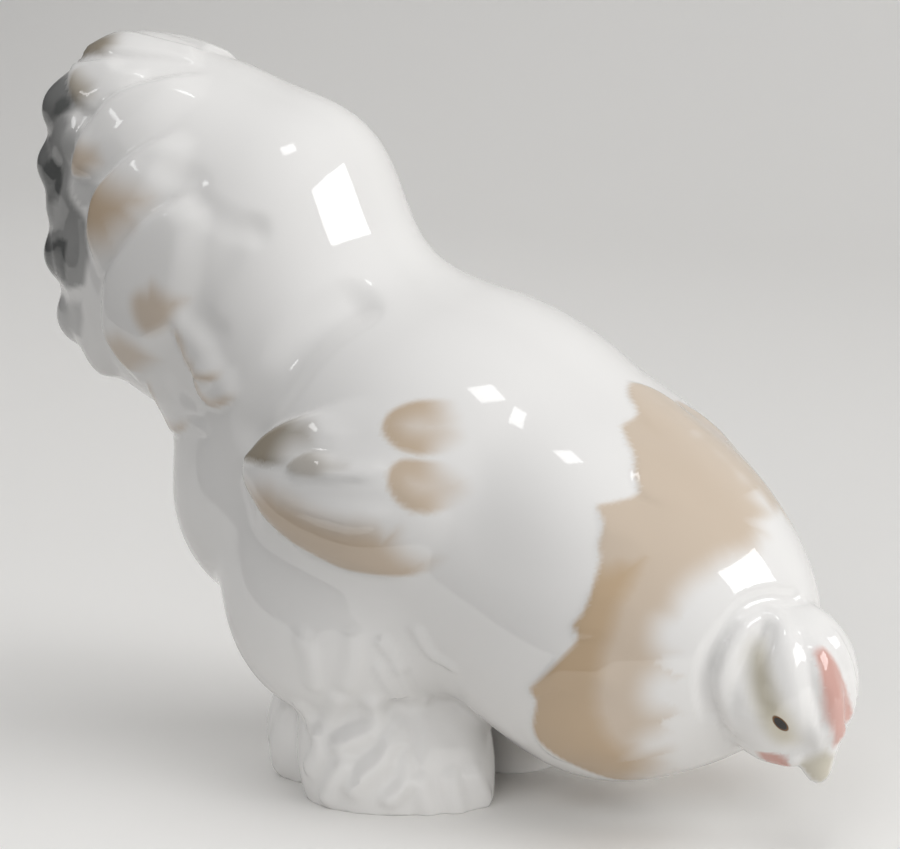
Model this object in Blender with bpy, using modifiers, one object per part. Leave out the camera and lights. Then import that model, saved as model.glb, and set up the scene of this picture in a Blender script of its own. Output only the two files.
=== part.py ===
"""A glazed porcelain hen that pecks at the ground, cast in one piece.

The hen faces +X and stands on z = 0. Sizes are in metres and angles in degrees.
Her form is a row of rounded masses that melt into each other. Feathers, folds and
ridges are then raised on that form, and the soles are cut flat.
"""

import math
from collections import namedtuple

import bmesh
import bpy
import numpy as np
from mathutils import Euler, Matrix

# Body, with its middle above the ground and its tilt, head end down
BODY_LENGTH = 0.112
BODY_WIDTH = 0.096
BODY_DEPTH = 0.083
BODY_HEIGHT = 0.069
BODY_TILT = 20

# Breast, shoulders and neck, ahead of the body
BREAST_LENGTH = 0.075
BREAST_WIDTH = 0.081
BREAST_DEPTH = 0.078
BREAST_TILT = 36
SHOULDER_LENGTH = 0.040
SHOULDER_WIDTH = 0.036
SHOULDER_DEPTH = 0.034
NECK_LENGTH = 0.050
NECK_WIDTH = 0.049
NECK_TILT = 40

# Head, which is turned to the hen's right
HEAD_TURN = -25
HEAD_DEPTH = 0.029
HEAD_WIDTH = 0.032
HEAD_LENGTH = 0.035
COMB_LENGTH = 0.023
COMB_WIDTH = 0.0088
COMB_DEPTH = 0.0072
BEAK_LENGTH = 0.015
BEAK_WIDTH = 0.0076
BEAK_DEPTH = 0.0084
WATTLE_LENGTH = 0.011
WATTLE_WIDTH = 0.0052

# Tail cushion and the fluff under it
TAIL_ROOT_LENGTH = 0.055
TAIL_ROOT_WIDTH = 0.068
TAIL_ROOT_DEPTH = 0.078
TAIL_LENGTH = 0.064
TAIL_WIDTH = 0.066
TAIL_DEPTH = 0.074
TAIL_CREST_LENGTH = 0.037
TAIL_CREST_WIDTH = 0.042
TAIL_CREST_TILT = -20
TAIL_LOW_LENGTH = 0.054
TAIL_LOW_WIDTH = 0.060
TAIL_LOW_DEPTH = 0.047
OUTER_FEATHER_WIDTH = 0.018
OUTER_FEATHER_DEPTH = 0.0155
INNER_FEATHER_WIDTH = 0.012
MIDDLE_FEATHER_WIDTH = 0.017
MIDDLE_FEATHER_DEPTH = 0.021
FLUFF_LENGTH = 0.055
FLUFF_WIDTH = 0.068
FLUFF_DEPTH = 0.059
BELLY_FLUFF_LENGTH = 0.056
BELLY_FLUFF_WIDTH = 0.076
BELLY_FLUFF_DEPTH = 0.054

# Wings, legs and feet
WING_LENGTH = 0.054
WING_DEPTH = 0.032
WING_THICKNESS = 0.022
THIGH_LENGTH = 0.057
THIGH_WIDTH = 0.040
THIGH_DEPTH = 0.054
FOOT_LENGTH = 0.039
FOOT_WIDTH = 0.028
FOOT_DEPTH = 0.050
FOOT_SPREAD = 0.023
FOOT_HEIGHT = 0.011
FOOT_SPLAY = 12
FOOT_FRONT_LENGTH = 0.021
FOOT_FRONT_WIDTH = 0.023
FOOT_FRONT_DEPTH = 0.048
REAR_TUFT_LENGTH = 0.029
REAR_TUFT_WIDTH = 0.034
REAR_TUFT_DEPTH = 0.036

# How far two masses melt into each other where they meet
BACK_FILLET = 0.026
BREAST_FILLET = 0.018
BODY_FILLET = 0.010
LIMB_FILLET = 0.008
FOOT_FILLET = 0.003
WING_FILLET = 0.002
FEATHER_FILLET = 0.0015
HEAD_FILLET = 0.0012
BEAK_FILLET = 0.0030
COMB_FILLET = 0.0006

# Carving
COVERT_WIDTH = 0.0175
COVERT_THICKNESS = 0.0015
SOFT_FEATHER_WIDTH = 0.017
SOFT_FEATHER_THICKNESS = 0.0010
HACKLE_WIDTH = 0.016
HACKLE_THICKNESS = 0.0008
WING_EDGE_WIDTH = 0.033
WING_EDGE_THICKNESS = 0.0022
FEATHER_RIM = 0.0020
CARVING_DEPTH = 0.009
LOCK_WIDTH = 0.006
LOCK_HEIGHT = 0.0018
TOE_HEIGHT = 0.0014
FACE_FOLD_WIDTH = 0.006
FACE_FOLD_HEIGHT = 0.0010
CHEEK_HOLLOW_WIDTH = 0.009
CREASE_WIDTH = 0.004
CREASE_DEPTH = 0.0008

# Fineness of the surface
COARSE_STEP = 0.003
SURFACE_STEP = 0.0017
COARSE_ROUNDS = 6
SURFACE_ROUNDS = 5
LONGEST_MOVE = 0.003
TRIANGLES = 9600
MASS_REACH = 0.045
SHARP_ANGLE = 50

Mass = namedtuple("Mass", "name centre radii turn fillet")
Feather = namedtuple("Feather", "kind root tip width thickness")
LaidFeather = namedtuple("LaidFeather", "kind root along across out length half_width thickness")
Ridge = namedtuple("Ridge", "name path width height paired")


def from_point(point, x, y, z):
    """The place that lies x forward, y to the left and z above a point."""
    return np.array(point) + np.array((x, y, z))


def other_side(mass):
    """The same mass on the left of the hen."""
    x, y, z = mass.centre
    yaw, pitch, roll = mass.turn
    return Mass("left_" + mass.name, np.array((x, -y, z)), mass.radii, (-yaw, pitch, -roll), mass.fillet)


def halves(length, width, depth):
    """The radii of an ellipsoid from its full sizes."""
    return np.array((length, width, depth)) / 2


def trunk_masses():
    """Body, breast, shoulders and neck, from back to front."""
    body = Mass("body", np.array((0.004, 0, BODY_HEIGHT)), halves(BODY_LENGTH, BODY_WIDTH, BODY_DEPTH),
                (0, BODY_TILT, 0), 0)
    breast = Mass("breast", from_point(body.centre, 0.042, -0.0025, -0.0232),
                  halves(BREAST_LENGTH, BREAST_WIDTH, BREAST_DEPTH), (0, BREAST_TILT, 0), BREAST_FILLET)
    shoulder = Mass("shoulder", from_point(body.centre, 0.033, -0.020, 0),
                    halves(SHOULDER_LENGTH, SHOULDER_WIDTH, SHOULDER_DEPTH), (0, BODY_TILT, 0), LIMB_FILLET)
    neck = Mass("neck", from_point(breast.centre, 0.019, -0.0035, -0.0028),
                halves(NECK_LENGTH, NECK_WIDTH, NECK_WIDTH), (0, NECK_TILT, 0), BODY_FILLET)
    return [body, breast, shoulder, other_side(shoulder), neck]


def tail_masses(body):
    """The upright tail cushion, and the fluff between it and the legs."""
    root = Mass("tail_root", from_point(body.centre, -0.0495, 0, 0.0435),
                halves(TAIL_ROOT_LENGTH, TAIL_ROOT_WIDTH, TAIL_ROOT_DEPTH), (0, BODY_TILT, 0), BACK_FILLET)
    tail = Mass("tail", from_point(root.centre, -0.0175, 0, 0.0085),
                halves(TAIL_LENGTH, TAIL_WIDTH, TAIL_DEPTH), (0, 0, 0), BODY_FILLET)
    crest = Mass("tail_crest", from_point(tail.centre, -0.0145, -0.0025, 0.0225),
                 halves(TAIL_CREST_LENGTH, TAIL_CREST_WIDTH, TAIL_CREST_WIDTH), (0, TAIL_CREST_TILT, 0),
                 LIMB_FILLET)
    low = Mass("tail_low", from_point(tail.centre, -0.001, 0, -0.016),
               halves(TAIL_LOW_LENGTH, TAIL_LOW_WIDTH, TAIL_LOW_DEPTH), (0, 0, 0), BODY_FILLET)
    fluff = Mass("fluff", from_point(body.centre, -0.0425, 0, -0.0055),
                 halves(FLUFF_LENGTH, FLUFF_WIDTH, FLUFF_DEPTH), (0, 0, 0), BODY_FILLET)
    belly = Mass("belly_fluff", from_point(body.centre, -0.019, 0, -0.027),
                 halves(BELLY_FLUFF_LENGTH, BELLY_FLUFF_WIDTH, BELLY_FLUFF_DEPTH), (0, 0, 0), BODY_FILLET)
    return [root, tail, crest, low, fluff, belly]


def main_feathers(tail):
    """The main feathers that stand in rows round the rear edge of the tail, on both sides."""
    outer = halves(OUTER_FEATHER_WIDTH, OUTER_FEATHER_WIDTH, OUTER_FEATHER_DEPTH)
    middle = halves(MIDDLE_FEATHER_WIDTH, MIDDLE_FEATHER_WIDTH, MIDDLE_FEATHER_DEPTH)
    inner = [halves(INNER_FEATHER_WIDTH, INNER_FEATHER_WIDTH, depth) for depth in (0.012, 0.012, 0.021, 0.026)]
    rows = (
        ("outer", (-0.0238, -0.0150, 0.0255), outer),
        ("outer", (-0.0255, -0.0150, 0.0130), outer),
        ("outer", (-0.0232, -0.0150, 0.0035), outer),
        ("outer", (-0.0242, -0.0150, -0.0070), outer),
        ("outer", (-0.0220, -0.0135, -0.0210), outer),
        ("inner", (-0.0200, -0.0205, 0.0185), inner[0]),
        ("inner", (-0.0185, -0.0212, 0.0075), inner[1]),
        ("inner", (-0.0192, -0.0205, -0.0055), inner[2]),
        ("inner", (-0.0155, -0.0195, -0.0205), inner[3]),
        ("middle", (-0.0265, -0.0055, 0.0200), middle),
        ("middle", (-0.0265, -0.0055, 0.0040), middle),
        ("middle", (-0.0260, -0.0055, -0.0120), middle),
    )
    right = [Mass(row, from_point(tail.centre, *place), radii, (0, 0, 0), FEATHER_FILLET)
             for row, place, radii in rows]
    return right + [other_side(mass) for mass in right]


def limb_masses(body):
    """A wing, a thigh and a feathered foot on each side, and the tuft behind the feet."""
    wing = Mass("wing", from_point(body.centre, -0.007, -0.0385, 0.002),
                halves(WING_LENGTH, WING_THICKNESS, WING_DEPTH), (-6, 6, -12), WING_FILLET)
    thigh = Mass("thigh", from_point(body.centre, -0.017, -0.0255, -0.0245),
                 halves(THIGH_LENGTH, THIGH_WIDTH, THIGH_DEPTH), (0, 0, 0), LIMB_FILLET)
    foot = Mass("foot", np.array((thigh.centre[0] + 0.008, -FOOT_SPREAD, FOOT_HEIGHT)),
                halves(FOOT_LENGTH, FOOT_WIDTH, FOOT_DEPTH), (FOOT_SPLAY, 0, 0), FOOT_FILLET)
    front = Mass("foot_front", from_point(foot.centre, 0.013, 0.0065, -0.005),
                 halves(FOOT_FRONT_LENGTH, FOOT_FRONT_WIDTH, FOOT_FRONT_DEPTH), (0, 0, 0), FOOT_FILLET)
    tuft = Mass("rear_tuft", from_point(foot.centre, -0.021, 0.015, -0.001),
                halves(REAR_TUFT_LENGTH, REAR_TUFT_WIDTH, REAR_TUFT_DEPTH), (0, 0, 0), FOOT_FILLET)
    paired = [wing, thigh, foot, front]
    return paired + [other_side(mass) for mass in paired] + [tuft]


def head_masses(neck):
    """The head, with the beak down and the comb forward."""
    turn = (HEAD_TURN, 0, 0)
    tucked = (HEAD_TURN, -8, 0)
    head = Mass("head", from_point(neck.centre, 0.0215, -0.0045, -0.0075),
                halves(HEAD_DEPTH, HEAD_WIDTH, HEAD_LENGTH), turn, HEAD_FILLET)
    comb = Mass("comb", from_point(head.centre, 0.0113, -0.0063, -0.0005),
                halves(COMB_DEPTH, COMB_WIDTH, COMB_LENGTH), tucked, COMB_FILLET)
    beak = Mass("beak", from_point(head.centre, 0.0090, -0.0050, -0.0117),
                halves(BEAK_DEPTH, BEAK_WIDTH, BEAK_LENGTH), tucked, BEAK_FILLET)
    wattle = Mass("wattle", from_point(head.centre, 0.0025, -0.0070, -0.0133),
                  halves(WATTLE_LENGTH, WATTLE_WIDTH, WATTLE_WIDTH), turn, HEAD_FILLET)
    return [head, comb, beak, wattle]


TRUNK = trunk_masses()
TAIL = tail_masses(TRUNK[0])
MAIN_FEATHERS = main_feathers(TAIL[1])
LIMBS = limb_masses(TRUNK[0])
HEAD = head_masses(TRUNK[-1])
MASSES = TRUNK + TAIL + LIMBS + MAIN_FEATHERS + HEAD


def turned(turn):
    """The rotation of a mass, from its yaw, pitch and roll."""
    yaw, pitch, roll = (math.radians(angle) for angle in turn)
    return Euler((roll, pitch, yaw), "XYZ").to_matrix()


def ellipsoid_distance(points, mass):
    """About how far each point lies outside an ellipsoid."""
    local = (points - mass.centre) @ np.array(turned(mass.turn))
    share = np.linalg.norm(local / mass.radii, axis=1)
    steepness = np.linalg.norm(local / mass.radii ** 2, axis=1) + 1e-9
    return share * (share - 1) / steepness


def melted(first, second, fillet):
    """The union of two forms, with a fillet where they meet."""
    lower = np.minimum(first, second)
    overlap = np.maximum(fillet - np.abs(first - second), 0) / fillet
    return lower - overlap * overlap * fillet / 4


def form(points):
    """About how far each point lies outside the plain form of the hen."""
    distance = ellipsoid_distance(points, MASSES[0])
    for mass in MASSES[1:]:
        reach = mass.radii.max() + MASS_REACH
        near = np.flatnonzero(np.linalg.norm(points - mass.centre, axis=1) < reach)
        distance[near] = melted(distance[near], ellipsoid_distance(points[near], mass), mass.fillet)
    return distance


def outward(points):
    """The direction away from the plain form at each point."""
    step = 0.0005
    slope = np.stack([form(points + step * axis) - form(points - step * axis) for axis in np.eye(3)], 1)
    return slope / np.linalg.norm(slope, axis=1, keepdims=True)


def seated(point):
    """The point moved onto the surface of the plain form."""
    place = np.array([point], float)
    for _ in range(COARSE_ROUNDS):
        place = place - form(place)[:, None] * outward(place)
    return place[0]


def eased(share):
    """A soft step from 0 to 1."""
    share = np.clip(share, 0, 1)
    return share * share * (3 - 2 * share)


def feathers():
    """Each feather from its root to its tip, as seen on the hen's right side."""
    body, tail, neck = TRUNK[0].centre, TAIL[1].centre, TRUNK[-1].centre
    wing = (((0.020, -0.046, 0.004), (-0.031, -0.045, 0.010)),)
    soft = (
        ((0.038, -0.016, 0.019), (0.005, -0.030, 0.017)),
        ((0.041, -0.020, 0.011), (0.019, -0.035, -0.015)),
    )
    coverts = (
        ((0.023, -0.004, 0.035), (-0.028, -0.009, 0.037)),
        ((0.022, -0.012, 0.029), (-0.024, -0.022, 0.028)),
        ((0.016, -0.019, 0.027), (-0.016, -0.029, 0.011)),
        ((0.015, -0.027, 0.017), (-0.010, -0.032, -0.010)),
        ((0.019, -0.032, 0.007), (-0.004, -0.030, -0.029)),
        ((0.024, -0.033, -0.001), (0.016, -0.035, -0.036)),
    )
    hackles = (
        ((0.007, -0.006, 0.027), (-0.015, -0.012, 0.043)),
        ((0.009, -0.014, 0.021), (-0.014, -0.025, 0.032)),
        ((0.007, -0.022, 0.013), (-0.014, -0.033, 0.019)),
        ((0.007, -0.024, 0.005), (-0.017, -0.037, 0.005)),
        ((0.001, -0.026, -0.007), (-0.024, -0.036, -0.009)),
        ((-0.003, -0.022, -0.019), (-0.025, -0.028, -0.022)),
    )
    kinds = (
        ("wing_edge", body, wing, WING_EDGE_WIDTH, WING_EDGE_THICKNESS),
        ("soft", tail, soft, SOFT_FEATHER_WIDTH, SOFT_FEATHER_THICKNESS),
        ("covert", tail, coverts, COVERT_WIDTH, COVERT_THICKNESS),
        ("hackle", neck, hackles, HACKLE_WIDTH, HACKLE_THICKNESS),
    )
    return [Feather(kind, from_point(middle, *root), from_point(middle, *tip), width, thickness)
            for kind, middle, ends, width, thickness in kinds for root, tip in ends]


def laid(feather):
    """A feather's directions once it lies on the form, with its upper side first across."""
    root, tip = seated(feather.root), seated(feather.tip)
    length = np.linalg.norm(tip - root)
    along = (tip - root) / length
    out = outward(np.array([seated((root + tip) / 2)]))[0]
    out = out - along * (out @ along)
    out = out / np.linalg.norm(out)
    across = np.cross(out, along)
    if across[2] < 0:
        across = -across
    return LaidFeather(feather.kind, root, along, across, out, length, feather.width / 2, feather.thickness)


def feather_height(points, feather):
    """A shingle that rises from its root and ends in a round, raised tip."""
    step = points - feather.root
    share = step @ feather.along / feather.length
    aside = step @ feather.across / feather.half_width
    round_from = 1 - 1.3 * feather.half_width / feather.length
    rim = np.hypot(aside, np.maximum(share - round_from, 0) / (1 - round_from))
    cover = eased((1 - rim) * feather.half_width / FEATHER_RIM) * eased(2 * share)
    cover = cover * eased(2 - np.abs(step @ feather.out) / CARVING_DEPTH)
    if feather.kind == "wing_edge":
        cover = cover * eased((1 - aside) / 1.3)
    lift = 0.45 + 0.55 * np.clip(share, 0, 1)
    return feather.thickness * cover * lift * (1 - 0.25 * aside ** 2)


def ridges():
    """Raised locks on the feet, and folds of the face, each along a path."""
    foot = LIMBS[2].centre
    head = HEAD[0].centre
    lock = (LOCK_WIDTH, LOCK_HEIGHT, True)
    toe = (LOCK_WIDTH, TOE_HEIGHT, True)
    fold = (FACE_FOLD_WIDTH, FACE_FOLD_HEIGHT, False)
    hollow = (CHEEK_HOLLOW_WIDTH, -FACE_FOLD_HEIGHT, False)
    crease = (CREASE_WIDTH, -CREASE_DEPTH, False)
    paths = (
        ("lock", foot, ((0.004, -0.011, 0.015), (-0.004, -0.012, 0.009), (-0.010, -0.011, 0.003)), lock),
        ("lock", foot, ((0.009, -0.010, 0.008), (0.002, -0.012, 0.001), (-0.007, -0.012, -0.004)), lock),
        ("lock", foot, ((0.013, -0.007, 0.001), (0.008, -0.010, -0.005), (0.001, -0.011, -0.009)), lock),
        ("lock", foot, ((-0.013, -0.007, 0.013), (-0.012, -0.008, 0.003), (-0.015, -0.008, -0.006)), toe),
        ("toe", foot, ((0.016, -0.005, -0.006), (0.017, -0.005, -0.011)), toe),
        ("toe", foot, ((0.021, 0, -0.005), (0.023, 0.001, -0.011)), toe),
        ("brow", head, ((0.003, -0.012, 0.0115), (0.008, -0.013, -0.0025), (0.012, -0.009, -0.0125)), fold),
        ("cheek", head, ((-0.003, -0.014, 0.0095), (-0.007, -0.016, 0.0005), (-0.006, -0.014, -0.0095)), fold),
        ("hollow", head, ((0, -0.015, 0.0075), (0.001, -0.016, -0.0015)), hollow),
        ("nape", head, ((0.003, -0.002, 0.0155), (-0.002, -0.011, 0.0155), (-0.006, -0.016, 0.0105)), crease),
        ("nape", head, ((-0.006, -0.016, 0.0105), (-0.008, -0.018, 0.0025), (-0.008, -0.013, -0.0075)), crease),
    )
    return [Ridge(name, [seated(from_point(middle, *place)) for place in path], *sizes)
            for name, middle, path, sizes in paths]


def ridge_height(points, ridge):
    """A rounded ridge, or a dent where its height is below nothing."""
    nearest = np.full(len(points), np.inf)
    for start, end in zip(ridge.path[:-1], ridge.path[1:]):
        run = end - start
        share = np.clip((points - start) @ run / (run @ run), 0, 1)
        nearest = np.minimum(nearest, np.linalg.norm(points - start - share[:, None] * run, axis=1))
    return ridge.height * eased(1 - nearest / (0.8 * ridge.width))


FEATHERS = [laid(feather) for feather in feathers()]
RIDGES = ridges()


def carving(points):
    """How high the carving stands on the plain form at each point."""
    folded = points.copy()
    folded[:, 1] = -np.abs(folded[:, 1])
    height = np.zeros(len(points))
    for feather in FEATHERS:
        middle = feather.root + feather.along * feather.length / 2
        reach = feather.length / 2 + feather.half_width
        near = np.flatnonzero(np.linalg.norm(folded - middle, axis=1) < reach)
        height[near] = np.maximum(height[near], feather_height(folded[near], feather))
    for ridge in RIDGES:
        height = height + ridge_height(folded if ridge.paired else points, ridge)
    return height


def taken(source):
    """The finished mesh of an object, which is then removed."""
    graph = bpy.context.evaluated_depsgraph_get()
    mesh = bpy.data.meshes.new_from_object(source.evaluated_get(graph))
    bpy.data.objects.remove(source)
    return mesh


def carrier(mesh):
    """An object in the scene that holds a mesh while a modifier works on it."""
    holder = bpy.data.objects.new("carrier", mesh)
    bpy.context.scene.collection.objects.link(holder)
    return holder


def all_masses():
    """All the masses as overlapping spheres in one mesh."""
    spheres = bmesh.new()
    for mass in MASSES:
        rotation = turned(mass.turn).to_4x4()
        place = Matrix.Translation(mass.centre) @ rotation @ Matrix.Diagonal((*mass.radii, 1))
        bmesh.ops.create_icosphere(spheres, subdivisions=4, radius=1, matrix=place)
    mesh = bpy.data.meshes.new("masses")
    spheres.to_mesh(mesh)
    spheres.free()
    return mesh


def one_skin(mesh, step):
    """The outside of a mesh as one closed skin of even faces."""
    holder = carrier(mesh)
    skin = holder.modifiers.new("skin", "REMESH")
    skin.mode = "VOXEL"
    skin.voxel_size = step
    return taken(holder)


def vectors(source, name):
    """One row of three numbers for each vertex."""
    values = np.empty(len(source) * 3, np.float32)
    source.foreach_get(name, values)
    return values.reshape(-1, 3).astype(float)


def move_to(mesh, points):
    """Put every vertex at its new place."""
    mesh.vertices.foreach_set("co", points.astype(np.float32).ravel())
    mesh.update()


def even_out(mesh):
    """Slide every vertex half way to the middle of its neighbours."""
    loose = bmesh.new()
    loose.from_mesh(mesh)
    bmesh.ops.smooth_vert(loose, verts=loose.verts, factor=0.5,
                          use_axis_x=True, use_axis_y=True, use_axis_z=True)
    loose.to_mesh(mesh)
    loose.free()


def settle_on_form(mesh):
    """Draw the coarse skin onto the plain form, which fills the clefts between the masses."""
    for _ in range(COARSE_ROUNDS):
        even_out(mesh)
        points = vectors(mesh.vertices, "co")
        move_to(mesh, points - outward(points) * form(points)[:, None])


def settle_on_carving(mesh):
    """Draw the fine skin onto the carved form, evening it out between the first moves."""
    for turn in range(SURFACE_ROUNDS):
        if 0 < turn < SURFACE_ROUNDS - 1:
            even_out(mesh)
        points = vectors(mesh.vertices, "co")
        gap = np.clip(form(points) - carving(points), -LONGEST_MOVE, LONGEST_MOVE)
        move_to(mesh, points - vectors(mesh.vertex_normals, "vector") * gap[:, None])


def thinned(mesh):
    """The same surface with fewer, well placed triangles."""
    holder = carrier(mesh)
    fewer = holder.modifiers.new("fewer", "DECIMATE")
    fewer.ratio = TRIANGLES / (2 * len(mesh.polygons))
    return taken(holder)


def stand_on_ground(mesh):
    """Cut the soles flat at z = 0 and put the hen's middle over the origin."""
    cut = bmesh.new()
    cut.from_mesh(mesh)
    every = cut.verts[:] + cut.edges[:] + cut.faces[:]
    bmesh.ops.bisect_plane(cut, geom=every, dist=0.00001, plane_co=(0, 0, 0), plane_no=(0, 0, 1),
                           clear_inner=True)
    bmesh.ops.holes_fill(cut, edges=[edge for edge in cut.edges if edge.is_boundary])
    bmesh.ops.triangulate(cut, faces=cut.faces)
    cut.to_mesh(mesh)
    cut.free()
    points = vectors(mesh.vertices, "co")
    middle = (points.min(axis=0) + points.max(axis=0)) / 2
    mesh.transform(Matrix.Translation((-middle[0], -middle[1], 0)))


def glazed_porcelain():
    """White porcelain under a clear, glossy glaze."""
    material = bpy.data.materials.new("glazed_porcelain")
    material.use_nodes = True
    shader = material.node_tree.nodes["Principled BSDF"]
    shader.inputs["Base Color"].default_value = (0.82, 0.81, 0.80, 1)
    shader.inputs["Roughness"].default_value = 0.08
    shader.inputs["Metallic"].default_value = 0
    return material


for leftover in list(bpy.data.objects):
    bpy.data.objects.remove(leftover)
figurine_parts = bpy.data.collections.new("hen_figurine")
bpy.context.scene.collection.children.link(figurine_parts)
plain_hen = one_skin(all_masses(), COARSE_STEP)
settle_on_form(plain_hen)
carved_hen = one_skin(plain_hen, SURFACE_STEP)
settle_on_carving(carved_hen)
hen_mesh = thinned(carved_hen)
stand_on_ground(hen_mesh)
hen_mesh.name = "hen_figurine"
hen_mesh.materials.clear()
hen_mesh.materials.append(glazed_porcelain())
hen_mesh.shade_smooth()
hen_mesh.set_sharp_from_angle(angle=math.radians(SHARP_ANGLE))
figurine_parts.objects.link(bpy.data.objects.new("hen_figurine", hen_mesh))
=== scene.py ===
"""A glazed porcelain hen, pecking at the ground, on a pale studio floor.

The hen faces +X and stands on z = 0. Lengths are in metres and angles in degrees.
"""

import math
from collections import namedtuple

import bmesh
import bpy
import numpy as np
from mathutils import Euler, Matrix, Vector


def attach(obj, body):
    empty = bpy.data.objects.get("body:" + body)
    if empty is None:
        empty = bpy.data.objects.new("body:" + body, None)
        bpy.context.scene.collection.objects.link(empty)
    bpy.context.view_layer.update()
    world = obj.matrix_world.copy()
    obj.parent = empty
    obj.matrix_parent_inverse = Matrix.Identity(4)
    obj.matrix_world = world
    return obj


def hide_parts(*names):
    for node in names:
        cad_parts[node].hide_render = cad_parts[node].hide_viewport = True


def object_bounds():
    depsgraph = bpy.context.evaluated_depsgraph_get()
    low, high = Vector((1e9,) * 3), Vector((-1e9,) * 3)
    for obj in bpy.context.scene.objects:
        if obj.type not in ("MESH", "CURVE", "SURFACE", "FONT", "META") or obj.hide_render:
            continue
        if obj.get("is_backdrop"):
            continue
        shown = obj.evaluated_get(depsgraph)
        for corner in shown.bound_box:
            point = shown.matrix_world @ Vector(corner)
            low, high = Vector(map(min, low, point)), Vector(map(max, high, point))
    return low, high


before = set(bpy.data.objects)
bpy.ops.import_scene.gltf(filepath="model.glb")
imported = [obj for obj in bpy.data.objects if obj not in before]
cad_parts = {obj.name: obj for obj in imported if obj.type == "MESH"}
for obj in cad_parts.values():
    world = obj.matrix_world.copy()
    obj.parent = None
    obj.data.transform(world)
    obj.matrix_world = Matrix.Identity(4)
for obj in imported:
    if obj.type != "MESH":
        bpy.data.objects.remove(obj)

cad_lowest, cad_highest = (np.array(corner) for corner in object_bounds())

# Camera
# It stands a little in front of the hen's right side and looks slightly down,
# far enough off that the near and the far side are drawn at almost one scale.
CAMERA_AZIMUTH = 28
CAMERA_ELEVATION = 12
CAMERA_DISTANCE = 0.8
CAMERA_TARGET = Vector((-0.0020, 0, 0.081))
SENSOR_WIDTH = 36
FRAME_WIDTH = 0.2


def towards(azimuth, elevation):
    """The direction of a place seen from the hen, from in front of her right side round to her head."""
    turn, rise = math.radians(azimuth), math.radians(elevation)
    return Vector((math.sin(turn) * math.cos(rise), -math.cos(turn) * math.cos(rise), math.sin(rise)))


def aimed(thing, name, place, target):
    """A camera or lamp in the scene that looks from a place at a target."""
    holder = bpy.data.objects.new(name, thing)
    bpy.context.scene.collection.objects.link(holder)
    holder.location = place
    holder.rotation_euler = (target - place).to_track_quat("-Z", "Y").to_euler()
    return holder


PICTURE_WIDTH = 900
PICTURE_MIDDLE = (450, 424.5)


def sight_lines(pixels):
    """The directions in which the camera sees these pixels of its picture, 900 by 849."""
    back = np.array(towards(CAMERA_AZIMUTH, CAMERA_ELEVATION))
    turn = math.radians(CAMERA_AZIMUTH)
    right = np.array((math.cos(turn), math.sin(turn), 0))
    up = np.cross(back, right)
    aside = (np.array(pixels) - PICTURE_MIDDLE) * FRAME_WIDTH / PICTURE_WIDTH
    lines = aside[:, :1] * right - aside[:, 1:] * up - back * CAMERA_DISTANCE
    return lines / np.linalg.norm(lines, axis=1, keepdims=True)


lens = bpy.data.cameras.new("camera")
lens.sensor_width = SENSOR_WIDTH
lens.lens = SENSOR_WIDTH * CAMERA_DISTANCE / FRAME_WIDTH
lens.clip_start = 0.01
camera_place = CAMERA_TARGET + towards(CAMERA_AZIMUTH, CAMERA_ELEVATION) * CAMERA_DISTANCE
bpy.context.scene.camera = aimed(lens, "camera", camera_place, CAMERA_TARGET)

# Form of the casting
# The whole bird is slip-cast in one mould, so it is one skin. Its form is a row of
# rounded masses, head to tail, that melt into each other.
Mass = namedtuple("Mass", "name centre radii turn fillet")
ONE_SIDED = (
    Mass("body", (0.004, 0, 0.069), (0.056, 0.048, 0.0415), (0, 20, 0), 0),
    Mass("breast", (0.046, -0.0025, 0.0458), (0.0375, 0.0405, 0.039), (0, 36, 0), 0.018),
    Mass("tail_root", (-0.0455, 0, 0.1125), (0.0275, 0.034, 0.039), (0, 20, 0), 0.026),
    Mass("tail", (-0.063, 0, 0.121), (0.032, 0.033, 0.037), (0, 0, 0), 0.010),
    Mass("tail_crest", (-0.0775, -0.0025, 0.1435), (0.0185, 0.021, 0.020), (0, -20, 0), 0.008),
    Mass("tail_low", (-0.064, 0, 0.105), (0.027, 0.030, 0.0235), (0, 0, 0), 0.010),
    Mass("fluff", (-0.0385, 0, 0.0635), (0.0275, 0.034, 0.0295), (0, 0, 0), 0.010),
    Mass("belly_fluff", (-0.015, 0, 0.042), (0.028, 0.038, 0.027), (0, 0, 0), 0.010),
    Mass("neck", (0.065, -0.006, 0.043), (0.025, 0.0245, 0.0245), (0, 40, 0), 0.010),
    Mass("rear_tuft", (-0.026, -0.008, 0.010), (0.0145, 0.017, 0.018), (0, 0, 0), 0.004),
)
BOTH_SIDED = (
    Mass("shoulder", (0.037, -0.020, 0.069), (0.020, 0.018, 0.017), (0, 20, 0), 0.008),
    Mass("wing", (-0.003, -0.0385, 0.071), (0.027, 0.011, 0.016), (-6, 6, -12), 0.002),
    Mass("thigh", (-0.013, -0.0255, 0.0445), (0.0285, 0.020, 0.027), (0, 0, 0), 0.008),
    Mass("foot", (-0.005, -0.023, 0.011), (0.0195, 0.014, 0.025), (12, 0, 0), 0.003),
    Mass("foot_front", (0.008, -0.0165, 0.006), (0.0105, 0.0115, 0.024), (0, 0, 0), 0.003),
)
OUTER_FEATHER = (0.0090, 0.0090, 0.00775)
MIDDLE_FEATHER = (0.0085, 0.0085, 0.0105)
FEATHER_FILLET = 0.0040
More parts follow.
